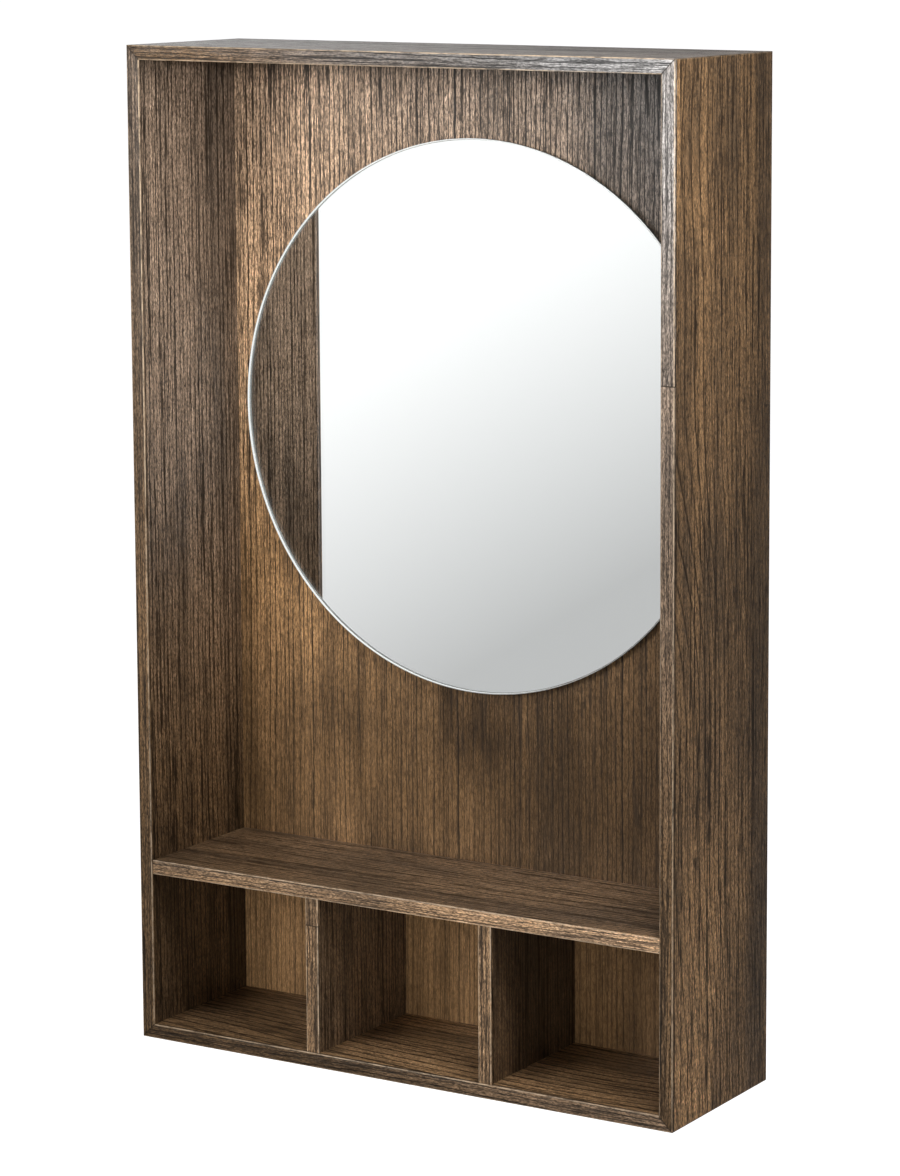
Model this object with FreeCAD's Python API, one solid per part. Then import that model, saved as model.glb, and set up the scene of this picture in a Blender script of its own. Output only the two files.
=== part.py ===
import FreeCAD, Part
import math
import os

# Hanging wall cabinet: a mitred open carcass, with a round mirror on its back panel and a shelf
# with three small compartments below it. It has no door and nothing on it moves.
#
# Millimetres. X runs to the viewer's right, Y towards the wall and Z up. The origin is on the wall
# plane, midway between the entry holes of the two keyhole hanger plates.

# Carcass
HEIGHT = 900.0
WIDTH = 552.0
DEPTH = 170.0
HANG_LINE_BELOW_TOP = 50.0
BOARD = 13.0                 # every board: a 12 mm core with a veneer on each face
LIPPING = 3.0                # solid wood strip on every front edge
ARRIS = 0.8                  # easing of the carcass's front edges

# Shelf and dividers
SHELF_TOP_ABOVE_BASE = 166.0
COMPARTMENT_COUNT = 3
INNER_SETBACK = 1.5          # shelf and dividers stand back from the carcass's front
INNER_ARRIS = 0.5

# Lengths in which two of the lippings are joined, above the base
RIGHT_LIPPING_JOINT_ABOVE_BASE = 632.5
DIVIDER_LIPPING_JOINT_ABOVE_BASE = 128.5

# Back panel
BACK_THICKNESS = 6.0
BACK_GROOVE = 5.0
REAR_RECESS = 20.0           # from the wall plane to the back panel's rear face

# Rails behind the back panel
HANGING_RAIL_HEIGHT = 75.0
SPACER_RAIL_HEIGHT = 60.0

# Mirror
MIRROR_CENTRE_ABOVE_BASE = 571.0
MIRROR_RADIUS = 248.0
GLASS_THICKNESS = 5.0
GLASS_CHAMFER = 0.8
SILVER_THICKNESS = 0.1
BACKING_THICKNESS = 0.4
COATING_INSET = 0.6          # the coats stop short of the glass's edge
TAPE_THICKNESS = 2.5
TAPE_WIDTH = 19.0
TAPE_STRIPS_X = (-160.0, -55.0, 55.0, 160.0)
TAPE_REACH = 0.84            # a strip's length as a share of the chord it lies on
DAB_RADIUS = 14.0
DAB_COLUMNS_X = (-108.0, 0.0, 108.0)
DAB_ROW_OFFSET = 88.0

# Joinery
DOWEL_RADIUS = 3.0
DOWEL_IN_FACE = 8.0          # depth into the face of a board
DOWEL_IN_EDGE = 20.0         # depth into the end of the other board
DOWEL_CHAMFER = 0.8
GLUE_SPACE = 0.5             # a hole is this much deeper than its dowel
DOWEL_ROWS_FROM_FRONT = (40.0, 110.0)
HANGING_RAIL_DOWEL_OFFSET = 20.0
SPACER_RAIL_DOWEL_OFFSET = 16.0
SPLINE_WIDTH = 10.0
SPLINE_THICKNESS = 3.0
SPLINE_FROM_OUTSIDE = 7.5    # depth of a spline's centre below both outer faces
SPLINE_FROM_FRONT = 12.0
SPLINE_FROM_WALL = 30.0

# Keyhole hanger plates
HANGER_SPACING = 400.0
PLATE_WIDTH = 18.0
PLATE_LENGTH = 56.0
PLATE_THICKNESS = 2.0
PLATE_CENTRE_ABOVE_ENTRY = 2.0
ENTRY_RADIUS = 5.0
SLOT_RADIUS = 2.5
SLOT_RISE = 10.0
POCKET_RADIUS = 7.0
POCKET_DEPTH = 10.0
PLATE_SCREW_OFFSET = 21.0    # from the plate's centre

# Plate screws, countersunk 3 x 14
SCREW_LENGTH = 14.0
SCREW_RADIUS = 1.5
SCREW_HEAD_RADIUS = 3.0
SCREW_HEAD_HEIGHT = 1.5
SCREW_TIP_LENGTH = 2.5
SCREW_TIP_RADIUS = 0.3
RECESS_WIDTH = 0.7
RECESS_LENGTH = 3.0
RECESS_DEPTH = 0.9

# Planes and faces worked out from the sizes above
WALL = 0.0
FRONT = WALL - DEPTH
TOP = HANG_LINE_BELOW_TOP
BASE = TOP - HEIGHT
OUTER_X = WIDTH / 2
INNER_X = OUTER_X - BOARD
CEILING = TOP - BOARD
FLOOR = BASE + BOARD
SHELF_TOP = BASE + SHELF_TOP_ABOVE_BASE
SHELF_UNDERSIDE = SHELF_TOP - BOARD
INNER_FRONT = FRONT + INNER_SETBACK
BACK_REAR = WALL - REAR_RECESS
BACK_FACE = BACK_REAR - BACK_THICKNESS
MIRROR_Z = BASE + MIRROR_CENTRE_ABOVE_BASE
COMPARTMENT = (2 * INNER_X - (COMPARTMENT_COUNT - 1) * BOARD) / COMPARTMENT_COUNT
DIVIDER_LEFT_X = -INNER_X + COMPARTMENT
DIVIDER_RIGHT_X = INNER_X - COMPARTMENT - BOARD
DOWEL_ROWS = [FRONT + offset for offset in DOWEL_ROWS_FROM_FRONT]
RAIL_Y = WALL - REAR_RECESS / 2
HANGING_RAIL_BOTTOM = CEILING - HANGING_RAIL_HEIGHT
HANGING_RAIL_Z = CEILING - HANGING_RAIL_HEIGHT / 2
SPACER_RAIL_TOP = FLOOR + SPACER_RAIL_HEIGHT
SPACER_RAIL_Z = FLOOR + SPACER_RAIL_HEIGHT / 2
HANGERS_X = (-HANGER_SPACING / 2, HANGER_SPACING / 2)
PLATE_SCREWS_Z = [PLATE_CENTRE_ABOVE_ENTRY + offset for offset in (-PLATE_SCREW_OFFSET, PLATE_SCREW_OFFSET)]

MARGIN = 20.0                # how far a cutting block passes the piece that it cuts

X_AXIS = FreeCAD.Vector(1, 0, 0)
Y_AXIS = FreeCAD.Vector(0, 1, 0)
Z_AXIS = FreeCAD.Vector(0, 0, 1)


def block(x0, x1, y0, y1, z0, z1):
    """A box between two opposite corners."""
    return Part.makeBox(x1 - x0, y1 - y0, z1 - z0, FreeCAD.Vector(x0, y0, z0))


def prism_along_y(outline, y0, y1):
    """The solid that a closed outline of (x, z) points sweeps from y0 to y1."""
    corners = [FreeCAD.Vector(x, y0, z) for x, z in outline]
    face = Part.Face(Part.makePolygon(corners + corners[:1]))
    return face.extrude(FreeCAD.Vector(0, y1 - y0, 0))


def disc_along_y(x, z, radius, y0, y1):
    """A round disc or bar whose axis runs from y0 to y1."""
    return Part.makeCylinder(radius, y1 - y0, FreeCAD.Vector(x, y0, z), Y_AXIS)


def upright_slot(x, z0, z1, radius, y0, y1):
    """A straight upright slot shape with round ends centred at z0 and z1."""
    middle = block(x - radius, x + radius, y0, y1, z0, z1)
    ends = [disc_along_y(x, z, radius, y0, y1) for z in (z0, z1)]
    return middle.fuse(ends).removeSplitter()


def eased(shape, size, y, keep=lambda edge: True):
    """The shape with a small chamfer on those straight edges that lie in the plane at y."""
    edges = [edge for edge in shape.Edges
             if all(abs(vertex.Y - y) < 1e-6 for vertex in edge.Vertexes) and keep(edge)]
    return shape.makeChamfer(size, edges)


def without(shape, cutters):
    """The shape with every cutter taken out of it."""
    return shape.cut(list(cutters)) if cutters else shape


# ---- joinery -------------------------------------------------------------------------------------

def bar(start, direction, length, radius):
    """A round bar from a start point."""
    return Part.makeCylinder(radius, length, start, direction)


def dowel(joint_point, into_face):
    """A dowel across a joint; into_face points from the joint into the face of the drilled board."""
    length = DOWEL_IN_FACE + DOWEL_IN_EDGE
    plain = bar(joint_point - into_face * DOWEL_IN_EDGE, into_face, length, DOWEL_RADIUS)
    rims = [edge for edge in plain.Edges if edge.isClosed()]
    return plain.makeChamfer(DOWEL_CHAMFER, rims)


def dowel_hole(joint_point, into_face):
    """The hole that a dowel sits in, a little deeper than the dowel at both ends."""
    length = DOWEL_IN_FACE + DOWEL_IN_EDGE + 2 * GLUE_SPACE
    start = joint_point - into_face * (DOWEL_IN_EDGE + GLUE_SPACE)
    return bar(start, into_face, length, DOWEL_RADIUS)


def end_joints(rows_y, heights_z):
    """Joint points and directions for dowels in both ends of a board between the side panels."""
    return [(FreeCAD.Vector(side * INNER_X, y, z), X_AXIS * side)
            for side in (-1, 1) for y in rows_y for z in heights_z]


def divider_joints(left_face_x):
    """Joint points and directions for dowels in the top and bottom ends of a divider."""
    x = left_face_x + BOARD / 2
    ends = ((FLOOR, Z_AXIS * -1), (SHELF_UNDERSIDE, Z_AXIS))
    return [(FreeCAD.Vector(x, y, z), direction) for z, direction in ends for y in DOWEL_ROWS]


JOINTS = {
    "shelf_dowels": end_joints(DOWEL_ROWS, [SHELF_TOP - BOARD / 2]),
    "divider_left_dowels": divider_joints(DIVIDER_LEFT_X),
    "divider_right_dowels": divider_joints(DIVIDER_RIGHT_X),
    "hanging_rail_dowels": end_joints([RAIL_Y], [HANGING_RAIL_Z - HANGING_RAIL_DOWEL_OFFSET,
                                                 HANGING_RAIL_Z + HANGING_RAIL_DOWEL_OFFSET]),
    "spacer_rail_dowels": end_joints([RAIL_Y], [SPACER_RAIL_Z - SPACER_RAIL_DOWEL_OFFSET,
                                                SPACER_RAIL_Z + SPACER_RAIL_DOWEL_OFFSET]),
}


def dowel_group(name):
    """All the dowels of one joint, as separate solids in one group."""
    return Part.makeCompound([dowel(point, direction) for point, direction in JOINTS[name]])


def holes_for(*names):
    """The dowel holes of the named joints."""
    return [dowel_hole(point, direction) for name in names for point, direction in JOINTS[name]]


def mitre_spline(side, level):
    """A loose tongue across one mitred corner; side and level are -1 or 1 for left/right, base/top."""
    x = side * (OUTER_X - SPLINE_FROM_OUTSIDE)
    z = TOP - SPLINE_FROM_OUTSIDE if level > 0 else BASE + SPLINE_FROM_OUTSIDE
    across = FreeCAD.Vector(side, 0, -level).normalize() * (SPLINE_WIDTH / 2)
    through = FreeCAD.Vector(side, 0, level).normalize() * (SPLINE_THICKNESS / 2)
    signs = ((1, 1), (1, -1), (-1, -1), (-1, 1))
    outline = [(x + a * across.x + b * through.x, z + a * across.z + b * through.z) for a, b in signs]
    return prism_along_y(outline, FRONT + SPLINE_FROM_FRONT, WALL - SPLINE_FROM_WALL)


SPLINES = {
    "mitre_spline_top_left": mitre_spline(-1, 1),
    "mitre_spline_top_right": mitre_spline(1, 1),
    "mitre_spline_bottom_left": mitre_spline(-1, -1),
    "mitre_spline_bottom_right": mitre_spline(1, -1),
}


# ---- carcass -------------------------------------------------------------------------------------

def back_panel():
    """The thin panel that slides into the grooves of the four carcass boards."""
    reach = BACK_GROOVE
    return block(-INNER_X - reach, INNER_X + reach, BACK_FACE, BACK_REAR, FLOOR - reach, CEILING + reach)


def carcass_frame():
    """The four outer boards with their lippings in one piece, grooved for the back panel."""
    outside = block(-OUTER_X, OUTER_X, FRONT, WALL, BASE, TOP)
    inside = block(-INNER_X, INNER_X, FRONT - MARGIN, WALL + MARGIN, FLOOR, CEILING)
    return eased(outside.cut(inside), ARRIS, FRONT).cut(back_panel())


def mitre_wedge(side):
    """A prism between the two mitre planes that bound one side of the carcass frame."""
    reach = BOARD + MARGIN
    left, right, base, top = -OUTER_X, OUTER_X, BASE, TOP
    out = {
        "left": [(left - MARGIN, top + MARGIN), (left + reach, top - reach),
                 (left + reach, base + reach), (left - MARGIN, base - MARGIN)],
        "right": [(right + MARGIN, top + MARGIN), (right - reach, top - reach),
                  (right - reach, base + reach), (right + MARGIN, base - MARGIN)],
        "top": [(left - MARGIN, top + MARGIN), (left + reach, top - reach),
                (right - reach, top - reach), (right + MARGIN, top + MARGIN)],
        "bottom": [(left - MARGIN, base - MARGIN), (left + reach, base + reach),
                   (right - reach, base + reach), (right + MARGIN, base - MARGIN)],
    }
    return prism_along_y(out[side], FRONT - MARGIN, WALL + MARGIN)


def slab(y0, y1, z0=BASE - MARGIN, z1=TOP + MARGIN):
    """A cutting block across the whole width, between two depths and two heights."""
    return block(-OUTER_X - MARGIN, OUTER_X + MARGIN, y0, y1, z0, z1)


def carcass_board(frame, side, joints):
    """One mitred board of the carcass, behind its lipping, drilled and grooved for its joints."""
    board = frame.common(mitre_wedge(side)).common(slab(FRONT + LIPPING, WALL + MARGIN))
    return without(board, holes_for(*joints) + list(SPLINES.values()))


def carcass_lipping(frame, side, z0=BASE - MARGIN, z1=TOP + MARGIN):
    """The mitred lipping on one side of the carcass, or the length of it between two heights."""
    return frame.common(mitre_wedge(side)).common(slab(FRONT - MARGIN, FRONT + LIPPING, z0, z1))


# ---- shelf and dividers --------------------------------------------------------------------------

def shelf_board():
    """The shelf under the mirror, behind its lipping."""
    board = block(-INNER_X, INNER_X, INNER_FRONT + LIPPING, BACK_FACE, SHELF_UNDERSIDE, SHELF_TOP)
    return without(board, holes_for("shelf_dowels", "divider_left_dowels", "divider_right_dowels"))


def shelf_lipping():
    """The solid strip on the shelf's front edge, with both long arrises eased."""
    strip = block(-INNER_X, INNER_X, INNER_FRONT, INNER_FRONT + LIPPING, SHELF_UNDERSIDE, SHELF_TOP)
    return eased(strip, INNER_ARRIS, INNER_FRONT, lambda edge: edge.Length > BOARD + MARGIN)


def divider_board(left_face_x, joint):
    """A divider between the bottom panel and the shelf, behind its lipping."""
    board = block(left_face_x, left_face_x + BOARD, INNER_FRONT + LIPPING, BACK_FACE, FLOOR, SHELF_UNDERSIDE)
    return without(board, holes_for(joint))


def divider_lipping(left_face_x, z0=FLOOR, z1=SHELF_UNDERSIDE):
    """The strip on a divider's front edge, or the length of it between two heights."""
    strip = block(left_face_x, left_face_x + BOARD, INNER_FRONT, INNER_FRONT + LIPPING, z0, z1)
    return eased(strip, INNER_ARRIS, INNER_FRONT, lambda edge: edge.BoundBox.ZLength > 1.0)


# ---- rails and hangers ---------------------------------------------------------------------------

def plate_outline(x, y0, y1):
    """The round-ended outline of a hanger plate as a solid."""
    half = PLATE_LENGTH / 2 - PLATE_WIDTH / 2
    middle = PLATE_CENTRE_ABOVE_ENTRY
    return upright_slot(x, middle - half, middle + half, PLATE_WIDTH / 2, y0, y1)


def plate_screw(x, z):
    """A countersunk wood screw with its head flush with the wall plane and a cross recess."""
    shank_end = WALL - SCREW_LENGTH + SCREW_TIP_LENGTH
    head_end = WALL - SCREW_HEAD_HEIGHT
    towards_room = Y_AXIS * -1
    head = Part.makeCone(SCREW_HEAD_RADIUS, SCREW_RADIUS, SCREW_HEAD_HEIGHT,
                         FreeCAD.Vector(x, WALL, z), towards_room)
    shank = disc_along_y(x, z, SCREW_RADIUS, shank_end, head_end)
    tip = Part.makeCone(SCREW_RADIUS, SCREW_TIP_RADIUS, SCREW_TIP_LENGTH,
                        FreeCAD.Vector(x, shank_end, z), towards_room)
    return head.fuse([shank, tip]).removeSplitter()


def cross_recess(x, z):
    """The two crossed slots in a screw's head."""
    long, short = RECESS_LENGTH / 2, RECESS_WIDTH / 2
    floor = WALL - RECESS_DEPTH
    level = block(x - long, x + long, floor, WALL + MARGIN, z - short, z + short)
    upright = block(x - short, x + short, floor, WALL + MARGIN, z - long, z + long)
    return level.fuse(upright).removeSplitter()


def plate_screw_places():
    """The (x, z) place of every plate screw."""
    return [(x, z) for x in HANGERS_X for z in PLATE_SCREWS_Z]


def plate_screws():
    """The four screws that hold the hanger plates, as separate solids in one group."""
    return Part.makeCompound([plate_screw(x, z).cut(cross_recess(x, z)) for x, z in plate_screw_places()])


def hanger_plate(x):
    """A steel keyhole plate, let in flush with the rear of the hanging rail."""
    rear_of_plate = WALL - PLATE_THICKNESS
    entry = disc_along_y(x, 0, ENTRY_RADIUS, rear_of_plate - MARGIN, WALL + MARGIN)
    slot = upright_slot(x, 0, SLOT_RISE, SLOT_RADIUS, rear_of_plate - MARGIN, WALL + MARGIN)
    screws = [plate_screw(x, z) for z in PLATE_SCREWS_Z]
    return without(plate_outline(x, rear_of_plate, WALL), [entry.fuse(slot)] + screws)


def hanging_rail():
    """The upper rail behind the back panel, recessed for the plates and pocketed behind them."""
    rail = block(-INNER_X, INNER_X, BACK_REAR, WALL, HANGING_RAIL_BOTTOM, CEILING)
    bed = WALL - PLATE_THICKNESS
    recesses = [plate_outline(x, bed, WALL + MARGIN) for x in HANGERS_X]
    pockets = [upright_slot(x, 0, SLOT_RISE, POCKET_RADIUS, bed - POCKET_DEPTH, bed + MARGIN)
               for x in HANGERS_X]
    pilots = [plate_screw(x, z) for x, z in plate_screw_places()]
    return without(rail, recesses + pockets + pilots + holes_for("hanging_rail_dowels"))


def spacer_rail():
    """The lower rail, which keeps the cabinet parallel to the wall."""
    rail = block(-INNER_X, INNER_X, BACK_REAR, WALL, FLOOR, SPACER_RAIL_TOP)
    return without(rail, holes_for("spacer_rail_dowels"))


# ---- mirror --------------------------------------------------------------------------------------

TAPE_FRONT = BACK_FACE - TAPE_THICKNESS
BACKING_FRONT = TAPE_FRONT - BACKING_THICKNESS
SILVER_FRONT = BACKING_FRONT - SILVER_THICKNESS
GLASS_FRONT = SILVER_FRONT - GLASS_THICKNESS


def mirror_glass():
    """The round clear glass, with both rims finely chamfered."""
    disc = disc_along_y(0, MIRROR_Z, MIRROR_RADIUS, GLASS_FRONT, SILVER_FRONT)
    rims = [edge for edge in disc.Edges if edge.isClosed()]
    return disc.makeChamfer(GLASS_CHAMFER, rims)


def coat(front, rear):
    """One of the coats on the back of the glass, as a thin disc inside the rear chamfer."""
    return disc_along_y(0, MIRROR_Z, MIRROR_RADIUS - GLASS_CHAMFER - COATING_INSET, front, rear)


def tape_strips():
    """Upright strips of foam mounting tape between the mirror and the back panel."""
    strips = []
    for x in TAPE_STRIPS_X:
        half = TAPE_REACH * math.sqrt(MIRROR_RADIUS ** 2 - x ** 2)
        strips.append(block(x - TAPE_WIDTH / 2, x + TAPE_WIDTH / 2, TAPE_FRONT, BACK_FACE,
                            MIRROR_Z - half, MIRROR_Z + half))
    return Part.makeCompound(strips)


def adhesive_dabs():
    """Flattened dabs of mirror adhesive between the strips of tape."""
    heights = (MIRROR_Z - DAB_ROW_OFFSET, MIRROR_Z + DAB_ROW_OFFSET)
    return Part.makeCompound([disc_along_y(x, z, DAB_RADIUS, TAPE_FRONT, BACK_FACE)
                              for x in DAB_COLUMNS_X for z in heights])


# ---- assembly ------------------------------------------------------------------------------------

def carcass_nodes():
    """The mitred boards, their lippings, the splines and the back panel."""
    frame = carcass_frame()
    side_joints = ("shelf_dowels", "hanging_rail_dowels", "spacer_rail_dowels")
    seam = BASE + RIGHT_LIPPING_JOINT_ABOVE_BASE
    nodes = {
        "side_panel_left": carcass_board(frame, "left", side_joints),
        "side_panel_right": carcass_board(frame, "right", side_joints),
        "top_panel": carcass_board(frame, "top", ()),
        "bottom_panel": carcass_board(frame, "bottom", ("divider_left_dowels", "divider_right_dowels")),
        "lipping_left": carcass_lipping(frame, "left"),
        "lipping_right_upper": carcass_lipping(frame, "right", z0=seam),
        "lipping_right_lower": carcass_lipping(frame, "right", z1=seam),
        "lipping_top": carcass_lipping(frame, "top"),
        "lipping_bottom": carcass_lipping(frame, "bottom"),
        "back_panel": back_panel(),
    }
    nodes.update(SPLINES)
    return nodes


def shelf_nodes():
    """The shelf, the dividers and their lippings."""
    seam = BASE + DIVIDER_LIPPING_JOINT_ABOVE_BASE
    return {
        "shelf_board": shelf_board(),
        "lipping_shelf": shelf_lipping(),
        "divider_left": divider_board(DIVIDER_LEFT_X, "divider_left_dowels"),
        "lipping_divider_left_upper": divider_lipping(DIVIDER_LEFT_X, z0=seam),
        "lipping_divider_left_lower": divider_lipping(DIVIDER_LEFT_X, z1=seam),
        "divider_right": divider_board(DIVIDER_RIGHT_X, "divider_right_dowels"),
        "lipping_divider_right": divider_lipping(DIVIDER_RIGHT_X),
    }


def hanging_nodes():
    """The rails, the hanger plates and their screws."""
    return {
        "hanging_rail": hanging_rail(),
        "spacer_rail": spacer_rail(),
        "hanger_plate_left": hanger_plate(HANGERS_X[0]),
        "hanger_plate_right": hanger_plate(HANGERS_X[1]),
        "hanger_plate_screws": plate_screws(),
    }


def mirror_nodes():
    """The glass, its two coats and what holds it to the back panel."""
    return {
        "mirror_glass": mirror_glass(),
        "mirror_silvering": coat(SILVER_FRONT, BACKING_FRONT),
        "mirror_backing": coat(BACKING_FRONT, TAPE_FRONT),
        "mirror_tape_strips": tape_strips(),
        "mirror_adhesive_dabs": adhesive_dabs(),
    }


def main():
    """Build every piece and write one STEP file for each node."""
    nodes = {}
    nodes.update(carcass_nodes())
    nodes.update(shelf_nodes())
    nodes.update({name: dowel_group(name) for name in JOINTS})
    nodes.update(hanging_nodes())
    nodes.update(mirror_nodes())
    os.makedirs("parts", exist_ok=True)
    for name, shape in nodes.items():
        shape.exportStep(f"parts/{name}.step")
        print(f"{name}: {len(shape.Solids)} solid(s), {shape.Volume / 1000:.2f} cm3, valid {shape.isValid()}")


main()
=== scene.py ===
"""Looks of a hanging wall cabinet: stained open-grain wood round a frameless round mirror.

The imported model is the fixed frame. Every visible board, edge strip and layer of the mirror is modelled
again here at the place that the frame gives it, and stands for one node of the frame. Metres throughout.
"""
import logging
import math
from contextlib import contextmanager
from dataclasses import dataclass, replace
from enum import Enum
from functools import reduce
from typing import Callable, Iterator, Sequence

import bmesh
import bpy
from mathutils import Matrix, Vector


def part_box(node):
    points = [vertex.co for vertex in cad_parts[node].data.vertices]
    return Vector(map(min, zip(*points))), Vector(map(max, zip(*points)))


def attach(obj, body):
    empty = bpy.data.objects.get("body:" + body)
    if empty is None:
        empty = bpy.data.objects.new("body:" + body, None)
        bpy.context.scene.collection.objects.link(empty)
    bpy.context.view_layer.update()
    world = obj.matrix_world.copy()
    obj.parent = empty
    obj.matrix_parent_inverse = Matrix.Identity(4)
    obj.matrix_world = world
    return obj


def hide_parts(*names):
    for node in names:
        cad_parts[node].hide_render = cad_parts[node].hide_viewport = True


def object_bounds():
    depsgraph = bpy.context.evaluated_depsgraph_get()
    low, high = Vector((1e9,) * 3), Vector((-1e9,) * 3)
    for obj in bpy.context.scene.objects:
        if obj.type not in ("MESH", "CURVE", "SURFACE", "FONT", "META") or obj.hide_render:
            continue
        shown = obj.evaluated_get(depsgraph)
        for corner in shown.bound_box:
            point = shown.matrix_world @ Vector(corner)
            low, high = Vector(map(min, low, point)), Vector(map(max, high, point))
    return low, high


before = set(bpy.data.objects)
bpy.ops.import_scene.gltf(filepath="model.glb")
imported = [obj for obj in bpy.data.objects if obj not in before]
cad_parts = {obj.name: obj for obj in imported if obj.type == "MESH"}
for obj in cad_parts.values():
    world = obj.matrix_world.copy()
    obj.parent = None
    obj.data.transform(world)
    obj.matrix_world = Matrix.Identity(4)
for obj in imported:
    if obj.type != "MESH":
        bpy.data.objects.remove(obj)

LOG = logging.getLogger("wall_cabinet")
FRAME_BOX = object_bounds()
BODY = "root"
MM = 0.001
BOARD = 0.013        # the thickness of a carcass board
SAME_PLANE = 1e-5    # points nearer to a plane than this lie on it
SAW_SNAP = 1e-6      # corners nearer to a saw cut than this aren't cut again
LONG_EDGE = 0.015    # a strip's edge that reaches further than this along it is one of its long ones
NO_BUTT = 9.0        # a height that no piece reaches

Colour = tuple[float, float, float]
Profile = tuple[tuple[float, float], ...]
Test = Callable[[Vector, Vector], bool]
Socket = bpy.types.NodeSocket
Material = bpy.types.Material
Piece = bpy.types.Object
Outputs = bpy.types.bpy_prop_collection
Place = tuple[float, float, float]


class Along(Enum):
    """The direction in which a board's grain runs."""

    WIDTH = 0
    HEIGHT = 2


class Face(Enum):
    """The direction in which a board's broad face looks."""

    SIDEWAYS = 0
    FORWARD = 1
    UP = 2


def srgb(*channels: int) -> Colour:
    """Turn a colour as a screen shows it into the linear values that shaders take.

    Args:
        channels: Red, green and blue, 0 to 255.

    Returns:
        The three linear values.
    """
    shares = [channel / 255.0 for channel in channels]
    return tuple(share / 12.92 if share <= 0.04045 else ((share + 0.055) / 1.055) ** 2.4 for share in shares)


def both_at(depth: float, a: Vector, b: Vector) -> bool:
    """Whether two points both lie at one depth."""
    return max(abs(a.y - depth), abs(b.y - depth)) < SAME_PLANE


# ---- the bench: shaping solids ----


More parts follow.
